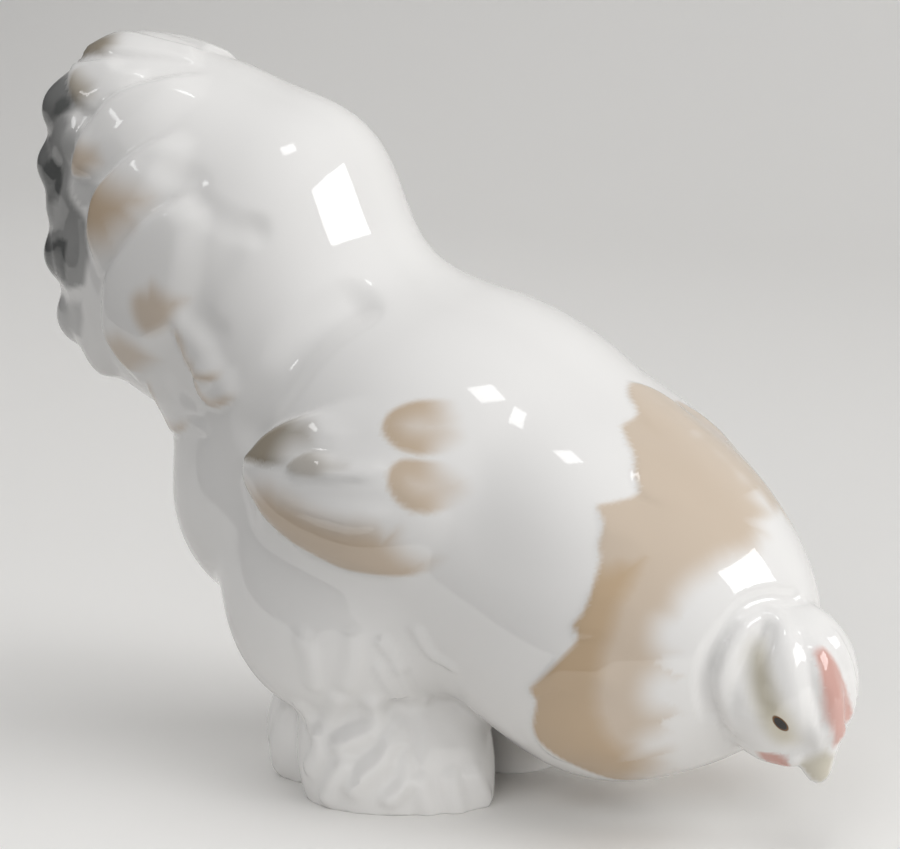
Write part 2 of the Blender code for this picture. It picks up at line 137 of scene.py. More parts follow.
MAIN_FEATHERS = (
    Mass("outer_1", (-0.0868, -0.0150, 0.1465), OUTER_FEATHER, (0, 0, 0), FEATHER_FILLET),
    Mass("outer_2", (-0.0885, -0.0150, 0.1340), OUTER_FEATHER, (0, 0, 0), FEATHER_FILLET),
    Mass("outer_3", (-0.0862, -0.0150, 0.1245), OUTER_FEATHER, (0, 0, 0), FEATHER_FILLET),
    Mass("outer_4", (-0.0872, -0.0150, 0.1140), OUTER_FEATHER, (0, 0, 0), FEATHER_FILLET),
    Mass("outer_5", (-0.0850, -0.0135, 0.1000), OUTER_FEATHER, (0, 0, 0), FEATHER_FILLET),
    Mass("inner_1", (-0.0830, -0.0205, 0.1395), (0.0060, 0.0060, 0.0060), (0, 0, 0), FEATHER_FILLET),
    Mass("inner_2", (-0.0815, -0.0212, 0.1285), (0.0060, 0.0060, 0.0060), (0, 0, 0), FEATHER_FILLET),
    Mass("inner_3", (-0.0822, -0.0205, 0.1155), (0.0060, 0.0060, 0.0105), (0, 0, 0), FEATHER_FILLET),
    Mass("inner_4", (-0.0785, -0.0195, 0.1005), (0.0060, 0.0060, 0.0130), (0, 0, 0), FEATHER_FILLET),
    Mass("middle_1", (-0.0895, -0.0055, 0.1410), MIDDLE_FEATHER, (0, 0, 0), FEATHER_FILLET),
    Mass("middle_2", (-0.0895, -0.0055, 0.1250), MIDDLE_FEATHER, (0, 0, 0), FEATHER_FILLET),
    Mass("middle_3", (-0.0890, -0.0055, 0.1090), MIDDLE_FEATHER, (0, 0, 0), FEATHER_FILLET),
)
FACE = (
    Mass("head", (0.0865, -0.0105, 0.0355), (0.0145, 0.016, 0.0175), (-25, 0, 0), 0.0018),
    Mass("comb", (0.0978, -0.0168, 0.0350), (0.0036, 0.0044, 0.0115), (-25, -8, 0), 0.0014),
    Mass("beak", (0.0955, -0.0155, 0.0238), (0.0042, 0.0038, 0.0075), (-25, -8, 0), 0.0030),
    Mass("wattle", (0.0890, -0.0175, 0.0222), (0.0055, 0.0026, 0.0026), (-25, 0, 0), 0.0012),
)
MASS_REACH = 0.045
SLOPE_STEP = 0.0005
SEATING_ROUNDS = 6
TINY = 1e-9


def other_side(mass):
    """The same mass on the left of the hen."""
    x, y, z = mass.centre
    yaw, pitch, roll = mass.turn
    return Mass("left_" + mass.name, (x, -y, z), mass.radii, (-yaw, pitch, -roll), mass.fillet)


PAIRS = (*BOTH_SIDED, *MAIN_FEATHERS)
MASSES = (*ONE_SIDED, *PAIRS, *(other_side(mass) for mass in PAIRS), *FACE)


def turned(mass):
    """The rotation of a mass, from its yaw, pitch and roll."""
    yaw, pitch, roll = (math.radians(angle) for angle in mass.turn)
    return Euler((roll, pitch, yaw), "XYZ").to_matrix()


def mass_distance(points, mass):
    """About how far each point lies outside a mass."""
    local = (points - mass.centre) @ np.array(turned(mass))
    radii = np.array(mass.radii)
    share = np.linalg.norm(local / radii, axis=1)
    steepness = np.linalg.norm(local / radii ** 2, axis=1) + TINY
    return share * (share - 1) / steepness


def form(points):
    """About how far each point lies outside the plain form, with a fillet where masses meet."""
    distance = mass_distance(points, MASSES[0])
    for mass in MASSES[1:]:
        reach = max(mass.radii) + MASS_REACH
        near = np.flatnonzero(np.linalg.norm(points - mass.centre, axis=1) < reach)
        others, this = distance[near], mass_distance(points[near], mass)
        overlap = np.maximum(mass.fillet - np.abs(others - this), 0) / mass.fillet
        distance[near] = np.minimum(others, this) - overlap * overlap * mass.fillet / 4
    return distance


def outward(points):
    """The direction away from the plain form at each point."""
    steps = np.eye(3) * SLOPE_STEP
    slope = np.stack([form(points + step) - form(points - step) for step in steps], 1)
    return slope / np.linalg.norm(slope, axis=1, keepdims=True)


def seated(places):
    """The places moved onto the surface of the plain form."""
    for _ in range(SEATING_ROUNDS):
        places = places - form(places)[:, None] * outward(places)
    return places


def eased(share):
    """A soft step from 0 to 1."""
    share = np.clip(share, 0, 1)
    return share * share * (3 - 2 * share)


# Feathers of the casting
# The modeller laid them over each other like shingles. Each has a rounded free edge,
# traced as the camera sees it, and sinks away towards its root. Both sides are alike.
Lap = namedtuple("Lap", "name edge root height rim fade paired")
Laid = namedtuple("Laid", "edge root middle across up out reach depth")
CASTING_SHIFT = (-0.0020, 0, 0)
SIGHT_FROM, SIGHT_TO, SIGHT_STEPS = 0.66, 0.96, 300
LAPS = (
    Lap("tail_a", ((205, 77), (165, 70), (130, 66), (97, 65), (78, 67), (70, 60), (74, 46), (90, 37)),
        ((120, 36), (160, 45), (205, 58)), 0.0012, 0.0020, 0.004, True),
    Lap("tail_b", ((130, 69), (95, 68), (76, 72), (67, 84), (66, 97), (73, 110), (88, 121), (105, 119)),
        ((125, 105), (150, 90), (150, 75)), 0.0015, 0.0022, 0.005, True),
    Lap("tail_c", ((215, 80), (192, 81), (162, 85), (125, 95), (106, 109), (91, 126), (80, 139), (72, 160),
                   (71, 182), (89, 187), (108, 184)),
        ((130, 170), (165, 140), (210, 105)), 0.0020, 0.0026, 0.009, True),
    Lap("tail_d", ((185, 132), (149, 148), (122, 166), (106, 182), (95, 195), (88, 213), (86, 240),
                   (90, 258), (97, 278), (101, 293)),
        ((125, 275), (155, 235), (185, 190), (200, 150)), 0.0020, 0.0026, 0.009, True),
    Lap("tail_e", ((195, 196), (162, 212), (140, 229), (119, 255), (106, 277), (101, 300), (103, 335),
                   (112, 354), (125, 371), (143, 393)),
        ((165, 375), (190, 330), (205, 270), (215, 215)), 0.0019, 0.0024, 0.008, True),
    Lap("tail_f", ((163, 318), (172, 333), (178, 350), (187, 370), (201, 385), (220, 388)),
        ((228, 365), (205, 330), (180, 305)), 0.0010, 0.0016, 0.006, True),
    Lap("tail_g", ((190, 360), (193, 385), (200, 402), (214, 413), (232, 408), (243, 396)),
        ((240, 372), (215, 355)), 0.0010, 0.0016, 0.006, True),
    Lap("tail_h", ((140, 376), (150, 396), (162, 418), (172, 434), (190, 438)),
        ((200, 415), (185, 390), (165, 370)), 0.0009, 0.0016, 0.006, True),
    Lap("wing", ((380, 398), (345, 405), (310, 417), (284, 426), (264, 437), (251, 453), (243, 468),
                 (245, 487), (253, 505), (265, 523), (286, 543), (313, 559), (341, 572), (369, 579),
                 (402, 583), (440, 577)),
        ((475, 545), (490, 490), (470, 430), (425, 400)), 0.0018, 0.0026, 0.022, True),
    Lap("wing_upper", ((345, 418), (300, 424), (268, 438), (253, 453), (246, 467), (262, 472), (285, 473),
                       (310, 470)),
        ((345, 462), (365, 440)), 0.0007, 0.0016, 0.008, True),
    Lap("wing_middle", ((345, 462), (310, 459), (295, 467), (288, 476), (297, 485), (313, 488), (347, 488),
                        (385, 490)),
        ((400, 480), (385, 462)), 0.0008, 0.0016, 0.006, True),
    Lap("wing_lower", ((300, 500), (285, 505), (296, 514), (315, 522), (340, 532), (365, 534), (390, 532)),
        ((405, 520), (385, 503), (340, 498)), 0.0007, 0.0016, 0.005, True),
    Lap("hackle_a", ((640, 375), (627, 388), (628, 404), (636, 419), (650, 434), (665, 446)),
        ((700, 455), (700, 410), (670, 385)), 0.0005, 0.0018, 0.012, True),
    Lap("hackle_b", ((628, 424), (620, 430), (623, 446), (631, 462), (632, 478), (636, 497), (650, 507),
                     (668, 514), (684, 526)),
        ((710, 520), (690, 470), (655, 436)), 0.0006, 0.0018, 0.012, True),
    Lap("hackle_c", ((620, 503), (594, 509), (599, 530), (595, 549), (597, 566), (612, 575)),
        ((660, 570), (660, 520)), 0.0005, 0.0018, 0.010, True),
    Lap("hackle_d", ((598, 566), (590, 590), (582, 611), (570, 628), (576, 641), (600, 640), (625, 632)),
        ((650, 615), (640, 575)), 0.0005, 0.0018, 0.010, True),
    Lap("hackle_e", ((578, 642), (560, 657), (544, 673), (527, 689), (534, 703), (560, 696), (590, 704)),
        ((630, 700), (625, 650)), 0.0008, 0.0018, 0.010, True),
    Lap("hackle_f", ((560, 696), (536, 704), (530, 726), (537, 743), (556, 759), (590, 770)),
        ((640, 760), (630, 715), (595, 702)), 0.0006, 0.0018, 0.010, True),
    Lap("head", ((815, 606), (800, 611), (783, 608), (766, 611), (748, 620), (732, 634), (719, 654),
                 (712, 675), (712, 692), (719, 714), (732, 732), (750, 748), (762, 757)),
        ((790, 758), (825, 735), (840, 690), (835, 640)), 0.0018, 0.0030, 0.008, False),
)
SMOOTH_RUNS = 4
LAP_DEPTH = 0.024
DEPTH_SHARE = 0.8
NEAR_SHARE = 1.2


def traced(pixels):
    """The places on the plain form that the camera sees at these pixels."""
    eye = np.array(camera_place) - CASTING_SHIFT
    lines = sight_lines(pixels)
    steps = np.linspace(SIGHT_FROM, SIGHT_TO, SIGHT_STEPS)
    places = eye + lines[:, None] * steps[:, None]
    outside = form(places.reshape(-1, 3)).reshape(len(lines), -1)
    first = np.where((outside < 0).any(axis=1), (outside < 0).argmax(axis=1), outside.argmin(axis=1))
    return seated(places[np.arange(len(lines)), first])


def smooth_curve(points):
    """A smooth curve through the points, with a few short runs between each two."""
    points = np.array([2 * points[0] - points[1], *points, 2 * points[-1] - points[-2]])
    curve = []
    for before, start, end, after in zip(points, points[1:], points[2:], points[3:]):
        for share in np.arange(SMOOTH_RUNS) / SMOOTH_RUNS:
            bend = (2 * before - 5 * start + 4 * end - after) * share ** 2
            twist = (3 * start - before - 3 * end + after) * share ** 3
            curve.append(start + ((end - before) * share + bend + twist) / 2)
    return np.array([*curve, points[-2]])


def laid(lap):
    """A lap's edges once they lie on the form, drawn flat as seen from straight above them."""
    edge, root = smooth_curve(traced(lap.edge)), smooth_curve(traced(lap.root))
    root = np.array([edge[-1], *root, edge[0]])
    middle = np.concatenate((edge, root)).mean(axis=0)
    out = outward(seated(middle[None]))[0]
    across = np.cross((0, 0, 1), out)
    across = across / np.linalg.norm(across)
    flat = np.stack((across, np.cross(out, across)), axis=1)
    reach = np.linalg.norm(np.concatenate((edge, root)) - middle, axis=1).max()
    depth = max(LAP_DEPTH, reach * DEPTH_SHARE)
    edge, root = (edge - middle) @ flat, (root - middle) @ flat
    return Laid(edge, root, middle, across, np.cross(out, across), out, reach, depth)


def path_distance(points, path):
    """How far each point lies from a path of straight runs, and how far along it that is."""
    nearest, place, passed = np.full(len(points), np.inf), np.zeros(len(points)), 0
    for start, end in zip(path[:-1], path[1:]):
        run = end - start
        length = math.sqrt(run @ run)
        if length == 0:
            continue
        share = np.clip((points - start) @ run / length ** 2, 0, 1)
        gap = np.linalg.norm(points - start - share[:, None] * run, axis=1)
        place = np.where(gap < nearest, passed + share * length, place)
        nearest = np.minimum(nearest, gap)
        passed += length
    return nearest, place


def enclosed(points, outline):
    """Which points lie inside a flat closed outline, by counting its crossings to their right."""
    inside = np.zeros(len(points), bool)
    for start, end in zip(outline, np.roll(outline, -1, axis=0)):
        spans = (start[1] > points[:, 1]) != (end[1] > points[:, 1])
        slope = (end[0] - start[0]) / (end[1] - start[1] + 1e-12)
        inside ^= spans & (points[:, 0] < start[0] + (points[:, 1] - start[1]) * slope)
    return inside


def in_lap(points, place):
    """The numbers of the points inside a lap, and how far in from its edge and root they lie."""
    near = np.flatnonzero(np.linalg.norm(points - place.middle, axis=1) < place.reach * NEAR_SHARE)
    step = points[near] - place.middle
    shallow = np.abs(step @ place.out) < place.depth
    near, step = near[shallow], step[shallow]
    flat = np.stack((step @ place.across, step @ place.up), axis=1)
    inside = enclosed(flat, np.concatenate((place.edge, place.root)))
    near, flat = near[inside], flat[inside]
    return near, path_distance(flat, place.edge), path_distance(flat, place.root)


def lap_height(points, lap, place):
    """How high a lap stands, with the points that it covers: full behind its rim, nothing at its root."""
    near, (from_edge, _), (from_root, _) = in_lap(points, place)
    rim = np.clip(from_edge / lap.rim, 0, 1)
    return near, lap.height * rim * (2 - rim) * eased(from_root / lap.fade)


# Locks, toes and creases of the casting
# Low ridges on the feathered feet and face, folds in the fluff, and the soft valleys
# between the cushions of feathers. Those with a negative height are grooves.
Ridge = namedtuple("Ridge", "name path width height paired")
RIDGES = (
    Ridge("tail_groove", ((150, 165), (170, 180), (192, 187), (195, 200), (205, 216), (226, 229),
                          (256, 236)),
          0.0050, -0.0004, True),
    Ridge("tail_groove", ((250, 238), (235, 246), (222, 268), (205, 290), (198, 311), (205, 328),
                          (213, 337)),
          0.0050, -0.0005, True),
    Ridge("tail_line", ((148, 284), (136, 281), (123, 282), (110, 293), (105, 310)), 0.0014, 0.0005, True),
    Ridge("tail_line", ((180, 415), (190, 428), (205, 434)), 0.0014, 0.0005, True),
    Ridge("valley", ((252, 430), (262, 408), (280, 385), (300, 355), (325, 330), (350, 312)),
          0.0085, -0.0018, True),
    Ridge("wing_groove", ((246, 474), (262, 490), (280, 508), (300, 520)), 0.0016, -0.0005, True),
    Ridge("fluff", ((380, 644), (392, 658), (400, 668)), 0.0022, 0.0008, True),
    Ridge("fluff", ((416, 632), (432, 655), (450, 668)), 0.0024, 0.0009, True),
    Ridge("fluff", ((378, 668), (388, 686), (398, 698)), 0.0022, 0.0008, True),
    Ridge("fluff", ((396, 668), (408, 690), (424, 700)), 0.0022, 0.0008, True),
    Ridge("fluff", ((302, 640), (308, 660), (312, 684)), 0.0036, 0.0008, True),
    Ridge("fluff", ((352, 640), (350, 665), (344, 685)), 0.0036, 0.0006, True),
    Ridge("lock", ((372, 702), (376, 718), (370, 731), (354, 740), (340, 746)), 0.0034, 0.0021, True),
    Ridge("lock", ((388, 744), (382, 760), (366, 775), (352, 790)), 0.0034, 0.0021, True),
    Ridge("lock", ((408, 766), (402, 786), (390, 800)), 0.0032, 0.0020, True),
    Ridge("lock", ((342, 766), (334, 780), (326, 798)), 0.0032, 0.0018, True),
    Ridge("lock", ((301, 708), (314, 726), (318, 748), (310, 768)), 0.0032, 0.0015, True),
    Ridge("lock", ((336, 700), (330, 718), (322, 734)), 0.0032, 0.0012, True),
    Ridge("lock_groove", ((396, 706), (410, 728), (414, 748), (409, 768)), 0.0032, -0.0012, True),
    Ridge("toe", ((420, 786), (428, 812)), 0.0034, 0.0014, True),
    Ridge("toe", ((450, 780), (456, 810)), 0.0034, 0.0014, True),
    Ridge("toe", ((474, 776), (484, 800)), 0.0034, 0.0016, True),
    Ridge("tuft", ((284, 715), (278, 740), (276, 765)), 0.0050, 0.0010, True),
    Ridge("brow", ((776, 622), (784, 640), (791, 668), (796, 697), (808, 722), (820, 738)),
          0.0040, 0.0012, False),
    Ridge("cheek", ((742, 628), (729, 648), (724, 672), (727, 700), (738, 722)), 0.0030, 0.0008, False),
    Ridge("hollow", ((766, 636), (758, 655), (757, 678), (764, 702)), 0.0050, -0.0016, False),
    Ridge("nape", ((798, 603), (768, 601), (743, 611), (722, 635), (708, 660), (704, 690), (712, 716)),
          0.0028, -0.0010, False),
    Ridge("comb", ((817, 660), (827, 683), (835, 706), (838, 732)), 0.0042, 0.0011, False),
    Ridge("crown_groove", ((802, 640), (807, 664), (815, 690), (822, 718), (828, 744)),
          0.0022, -0.0007, False),
    Ridge("far_brow", ((836, 640), (848, 664), (855, 690), (852, 715), (844, 735)), 0.0028, 0.0008, False),
)
LAID_LAPS = tuple((lap, laid(lap)) for lap in LAPS)
LAID_RIDGES = tuple(ridge._replace(path=smooth_curve(traced(ridge.path))) for ridge in RIDGES)


def folded_over(points):
    """The points with the left side laid onto the right."""
    return points * (1, 0, 1) - np.abs(points) * (0, 1, 0)


def carving(points):
    """How high the carving stands on the plain form at each point."""
    folded = folded_over(points)
    height = np.zeros(len(points))
    for lap, place in LAID_LAPS:
        near, rise = lap_height(folded if lap.paired else points, lap, place)
        height[near] += rise
    for ridge in LAID_RIDGES:
        spread = folded if ridge.paired else points
        middle = ridge.path.mean(axis=0)
        reach = np.linalg.norm(ridge.path - middle, axis=1).max() + ridge.width
        near = np.flatnonzero(np.linalg.norm(spread - middle, axis=1) < reach)
        distance, _ = path_distance(spread[near], ridge.path)
        height[near] += ridge.height * eased(1 - distance / ridge.width)
    return height


# Skin of the casting
# Overlapping spheres become one closed skin. It is drawn onto the plain form, made
# fine, and drawn onto the carved form. Last, the soles are ground flat.
COARSE_STEP = 0.003
FINE_STEP = 0.00105
COARSE_ROUNDS = 6
FINE_ROUNDS = 5
LONGEST_MOVE = 0.003
SPHERE_DETAIL = 4
CUT_TOLERANCE = 0.00001


def all_masses():
    """All the masses as overlapping spheres in one mesh."""
    spheres = bmesh.new()
    for mass in MASSES:
        place = Matrix.Translation(mass.centre) @ turned(mass).to_4x4() @ Matrix.Diagonal((*mass.radii, 1))
        bmesh.ops.create_icosphere(spheres, subdivisions=SPHERE_DETAIL, radius=1, matrix=place)
    mesh = bpy.data.meshes.new("masses")
    spheres.to_mesh(mesh)
    spheres.free()
    return mesh


def one_skin(mesh, step):
    """The outside of a mesh as one closed skin of even faces."""
    holder = bpy.data.objects.new("skin", mesh)
    bpy.context.scene.collection.objects.link(holder)
    skin = holder.modifiers.new("skin", "REMESH")
    skin.mode = "VOXEL"
    skin.voxel_size = step
    graph = bpy.context.evaluated_depsgraph_get()
    finished = bpy.data.meshes.new_from_object(holder.evaluated_get(graph))
    bpy.data.objects.remove(holder)
    return finished


def vectors(source, name):
    """One row of three numbers for each vertex."""
    values = np.empty(len(source) * 3, np.float32)
    source.foreach_get(name, values)
    return values.reshape(-1, 3).astype(float)


def move_to(mesh, points):
    """Put every vertex at its new place."""
    mesh.vertices.foreach_set("co", points.astype(np.float32).ravel())
    mesh.update()


def even_out(mesh):
    """Slide every vertex half way to the middle of its neighbours."""
    loose = bmesh.new()
    loose.from_mesh(mesh)
    bmesh.ops.smooth_vert(loose, verts=loose.verts, factor=0.5,
                          use_axis_x=True, use_axis_y=True, use_axis_z=True)
    loose.to_mesh(mesh)
    loose.free()


def settle_on_form(mesh):
    """Draw the coarse skin onto the plain form, which fills the clefts between the masses."""
    for _ in range(COARSE_ROUNDS):
        even_out(mesh)
        points = vectors(mesh.vertices, "co")
        move_to(mesh, points - outward(points) * form(points)[:, None])


def settle_on_carving(mesh):
    """Draw the fine skin onto the carved form, evening it out between the first moves."""
    for turn in range(FINE_ROUNDS):
        if 0 < turn < FINE_ROUNDS - 1:
            even_out(mesh)
        points = vectors(mesh.vertices, "co")
        gap = np.clip(form(points) - carving(points), -LONGEST_MOVE, LONGEST_MOVE)
        move_to(mesh, points - vectors(mesh.vertex_normals, "vector") * gap[:, None])


def grind_soles(mesh):
    """Cut the feet flat at z = 0 and close the cut."""
    cut = bmesh.new()
    cut.from_mesh(mesh)
    every = cut.verts[:] + cut.edges[:] + cut.faces[:]
    bmesh.ops.bisect_plane(cut, geom=every, dist=CUT_TOLERANCE, plane_co=(0, 0, 0), plane_no=(0, 0, 1),
                           clear_inner=True)
    bmesh.ops.holes_fill(cut, edges=[edge for edge in cut.edges if edge.is_boundary])
    cut.to_mesh(mesh)
    cut.free()


hen_mesh = one_skin(all_masses(), COARSE_STEP)
settle_on_form(hen_mesh)
hen_mesh = one_skin(hen_mesh, FINE_STEP)
settle_on_carving(hen_mesh)
grind_soles(hen_mesh)
hen_mesh.shade_smooth()

# Colours under the glaze
# The painter brushed tan, umber, slate grey and pink onto the white bisque with a wet
# brush, each field darkest at its free edge, before the clear glaze went on. Some marks
# also stand for light: the deeper tan low on the cape and the cream round the eye are
# partly painted shade, and the pale seams of the slate lobes are partly a painted highlight.
Mark = namedtuple("Mark", "colour edge root strength soft fade reach streak")
FADED = 1.0
MARKS = (
    Mark("tan", ((668, 388), (643, 383), (628, 387), (627, 400), (635, 418), (620, 429), (623, 445),
                 (631, 461), (632, 477), (635, 496), (615, 503), (594, 509), (600, 528), (595, 549),
                 (597, 563), (590, 590), (582, 611), (570, 628), (575, 640), (560, 657), (544, 673),
                 (527, 689), (533, 702), (530, 726), (537, 742), (560, 760), (590, 774), (627, 782),
                 (681, 777), (730, 765), (757, 757)),
         ((700, 762), (668, 764), (650, 752), (668, 742), (696, 736), (680, 726), (706, 716), (668, 704),
          (660, 692), (690, 678), (682, 666), (712, 656), (676, 644), (680, 626), (696, 606), (722, 590),
          (748, 582), (762, 566), (780, 548), (776, 505), (772, 480), (760, 440), (715, 400)),
         0.72, 0.0013, 0.0085, FADED, 0.0020),
    # A second, stronger tan over the lower cape darkens it towards the bottom: painted shade laid on the
    # cape's own tan.
    Mark("tan", ((604, 520), (595, 549), (597, 563), (590, 590), (582, 611), (570, 628), (575, 640),
                 (560, 657), (544, 673), (527, 689), (533, 702), (530, 726), (537, 742), (560, 760),
                 (590, 774), (627, 782), (681, 777)),
         ((690, 750), (650, 720), (655, 680), (665, 640), (675, 600), (700, 560), (700, 520), (650, 500)),
         1.00, 0.0013, 0.0140, FADED, 0.0015),
    Mark("umber", ((114, 37), (95, 38), (81, 45), (74, 58), (75, 67), (100, 66), (114, 67)),
         ((130, 60), (130, 44)), 0.90, 0.0014, 0.006, FADED, 0),
    Mark("umber", ((88, 73), (73, 80), (66, 93), (68, 108), (79, 119), (90, 122)),
         ((104, 112), (104, 88)), 0.80, 0.0014, 0.006, FADED, 0),
    Mark("tan", ((86, 138), (75, 152), (71, 172), (75, 185), (98, 186)),
         ((112, 174), (108, 146)), 0.70, 0.0014, 0.006, FADED, 0),
    Mark("tan", ((124, 168), (107, 183), (96, 196), (88, 214), (87, 238), (91, 258), (99, 272)),
         ((122, 268), (148, 238), (168, 202), (150, 176)), 0.90, 0.0012, 0.0115, FADED, 0.0008),
    Mark("tan", ((136, 282), (129, 298), (130, 318), (138, 335), (152, 344), (170, 339), (187, 322)),
         ((194, 302), (172, 284), (152, 276)), 0.65, 0.0042, 0.006, FADED, 0.0008),
    Mark("tan", ((103, 326), (112, 352), (127, 371), (148, 380)), ((170, 366), (146, 338), (120, 322)),
         0.60, 0.0016, 0.006, FADED, 0),
    Mark("tan", ((168, 328), (177, 348), (185, 369), (201, 385), (226, 386)), ((232, 362), (195, 324)),
         0.80, 0.0014, 0.004, 0.0032, 0.0004),
    Mark("tan", ((188, 360), (193, 385), (200, 402), (214, 413), (238, 408)), ((244, 378), (212, 352)),
         0.80, 0.0014, 0.004, 0.0032, 0.0004),
    Mark("tan", ((141, 380), (150, 396), (162, 416), (174, 434), (190, 436)), ((204, 410), (168, 376)),
         0.60, 0.0014, 0.004, 0.0032, 0),
    Mark("slate", ((70, 90), (50, 100), (43, 120), (43, 150), (34, 175), (38, 200), (50, 222), (44, 250),
                   (50, 285), (64, 296), (86, 293)),
         ((92, 262), (88, 226), (74, 200), (72, 160), (78, 128)), 0.72, 0.0014, 0.0030, FADED, 0),
    # The wide soft edges of these slate lobes leave pale seams where they meet: partly a soft brush edge
    # and partly a painted highlight on the feather rims.
    Mark("slate", ((70, 92), (52, 101), (46, 118), (50, 133), (62, 130)), ((78, 120), (80, 104)),
         1.00, 0.0026, 0.0030, FADED, 0),
    Mark("slate", ((52, 152), (38, 166), (36, 190), (44, 212), (60, 218)), ((66, 195), (64, 165)),
         1.00, 0.0026, 0.0030, FADED, 0),
    Mark("slate", ((62, 232), (48, 244), (50, 270), (58, 292), (70, 294)), ((70, 270), (74, 240)),
         1.00, 0.0026, 0.0030, FADED, 0),
    Mark("slate", ((72, 182), (70, 200), (82, 214), (100, 205)), ((102, 190), (88, 182)),
         0.30, 0.0008, 0.0020, FADED, 0),
    Mark("slate", ((66, 298), (60, 316), (70, 336), (84, 345)), ((86, 325), (82, 302)),
         0.42, 0.0010, 0.0030, FADED, 0),
    Mark("umber", ((322, 417), (300, 421), (284, 426), (266, 437), (252, 452), (244, 467), (262, 474),
                   (285, 475), (305, 470)),
         ((326, 460), (336, 435)), 0.90, 0.0014, 0.011, FADED, 0.0010),
    Mark("umber", ((330, 452), (310, 457), (295, 467), (288, 476), (297, 484), (313, 487), (338, 488)),
         ((358, 478), (356, 462)), 0.55, 0.0016, 0.006, FADED, 0.0008),
    Mark("tan", ((244, 472), (251, 498), (264, 522), (286, 542), (313, 558), (341, 571), (369, 578),
                 (402, 581), (440, 576)),
         ((450, 560), (420, 545), (402, 522), (350, 506), (312, 490), (288, 480), (262, 472)),
         0.80, 0.0012, 0.0085, FADED, 0.0010),
    Mark("tan", ((456, 402), (420, 404), (400, 408), (385, 418), (378, 432), (383, 447), (398, 460),
                 (422, 465), (454, 462)),
         ((470, 445), (470, 420)), 0.85, 0.0016, 0.009, 0.0105, 0.0008),
    Mark("tan", ((456, 466), (420, 462), (400, 462), (386, 474), (385, 492), (392, 508), (406, 518),
                 (428, 522), (462, 514)),
         ((476, 498), (474, 478)), 0.80, 0.0016, 0.009, 0.0105, 0.0008),
    Mark("pink", ((804, 652), (809, 667), (815, 690), (821, 712), (827, 732), (834, 752), (845, 740),
                  (851, 718), (851, 698), (845, 678)),
         ((838, 662), (822, 649), (810, 648)), 0.90, 0.0012, 0.0018, FADED, 0),
    Mark("pink", ((757, 750), (764, 761), (776, 768), (797, 767)), ((790, 757), (772, 752)),
         0.95, 0.0006, 0.0010, FADED, 0),
    Mark("cream_and_shade", ((795, 762), (816, 784), (830, 788), (836, 778), (840, 750)),
         ((828, 744), (812, 750)), 0.90, 0.0010, 0.0030, FADED, 0),
    # This cream wash round the eye and over the lower face is partly the face's own tint and partly
    # painted shade in the hollow of the face.
    Mark("cream_and_shade", ((752, 626), (740, 655), (742, 690), (754, 724), (772, 750), (802, 758)),
         ((816, 745), (804, 715), (788, 685), (780, 655), (772, 634)), 0.95, 0.0050, 0.0050, FADED, 0),
)
HEAD_COLOURS = ("pink", "cream_and_shade")
SLATE_FEATHERS = {"outer_1": 0.9, "outer_2": 0.9, "outer_3": 0.8, "outer_4": 1.0, "outer_5": 0.4,
                  "inner_1": 0.65, "inner_2": 0.35, "inner_3": 0.65,
                  "middle_1": 0.9, "middle_2": 0.9, "middle_3": 0.9}
SLATE_FADE = 0.0016
STREAK_STEP = 0.0032
BRUSH_HAIRS = 400
BAND_SOFTNESS = 0.2
brush_hairs = np.random.default_rng(7).uniform(-1, 1, BRUSH_HAIRS)


def hair_streaks(along):
    """The uneven edge that brush hairs leave, from -1 to 1 along an edge."""
    number = (along / STREAK_STEP).astype(int)
    share = eased(along / STREAK_STEP - number)
    return brush_hairs[number] * (1 - share) + brush_hairs[number + 1] * share


def brushed(points, colour):
    """How strongly one colour lies at each point, where the strongest of its marks counts."""
    folded = points if colour in HEAD_COLOURS else folded_over(points)
    strength = np.zeros(len(points))
    for mark in MARKS:
        if mark.colour != colour:
            continue
        near, (from_edge, _), (from_root, along) = in_lap(folded, laid(mark))
        cover = eased(from_edge / mark.soft)
        cover = cover * eased((from_root + mark.streak * hair_streaks(along)) / mark.fade)
        if mark.reach < FADED:
            in_band = 1 + BAND_SOFTNESS - (from_edge + mark.streak * hair_streaks(along)) / mark.reach
            cover = cover * eased(in_band)
        strength[near] = np.maximum(strength[near], mark.strength * cover)
    return strength


def slate_tips(points):
    """Slate grey on the main tail feathers, each in its own depth of tone."""
    folded = folded_over(points)
    strength = np.zeros(len(points))
    for mass in MAIN_FEATHERS:
        if mass.name in SLATE_FEATHERS:
            near = eased(1 - mass_distance(folded, mass) / SLATE_FADE)
            strength = np.maximum(strength, SLATE_FEATHERS[mass.name] * near)
    return strength


def keep(mesh, name, *strengths):
    """Store three strengths for each vertex as one colour attribute."""
    values = np.ones((len(mesh.vertices), 4), np.float32)
    for number, strength in enumerate(strengths):
        values[:, number] = strength
    layer = mesh.attributes.new(name, "FLOAT_COLOR", "POINT")
    layer.data.foreach_set("color", values.ravel())


hen_places = vectors(hen_mesh.vertices, "co")
slate = np.maximum(brushed(hen_places, "slate"), slate_tips(hen_places))
keep(hen_mesh, "body_paint", brushed(hen_places, "tan"), brushed(hen_places, "umber"), slate)
no_paint = np.zeros(len(hen_places))
keep(hen_mesh, "face_paint", brushed(hen_places, "pink"), brushed(hen_places, "cream_and_shade"), no_paint)

# Fitting the casting to its solid
# The fine skin is centred on the solid that it stands for, and takes its exact size.
lowest, highest = hen_places.min(axis=0), hen_places.max(axis=0)
growth = (cad_highest - cad_lowest) / (highest - lowest)


def fitted(places):
    """Places in the form's frame, moved with the skin onto the solid."""
    return cad_lowest + (places - lowest) * growth


move_to(hen_mesh, fitted(hen_places))

# Eyes
# A dark, almond-shaped spot on either side of the head, painted with a brown rim.
EYE_SEEN = ((781.8, 722.6),)
EYE_SIZE = Vector((0.0026, 0.00115, 0.004))
EYE_SLANT = -52
HEAD_FACING = -25
DARK_UP_TO, RIM_FROM, RIM_UP_TO = 0.66, 0.86, 1.04


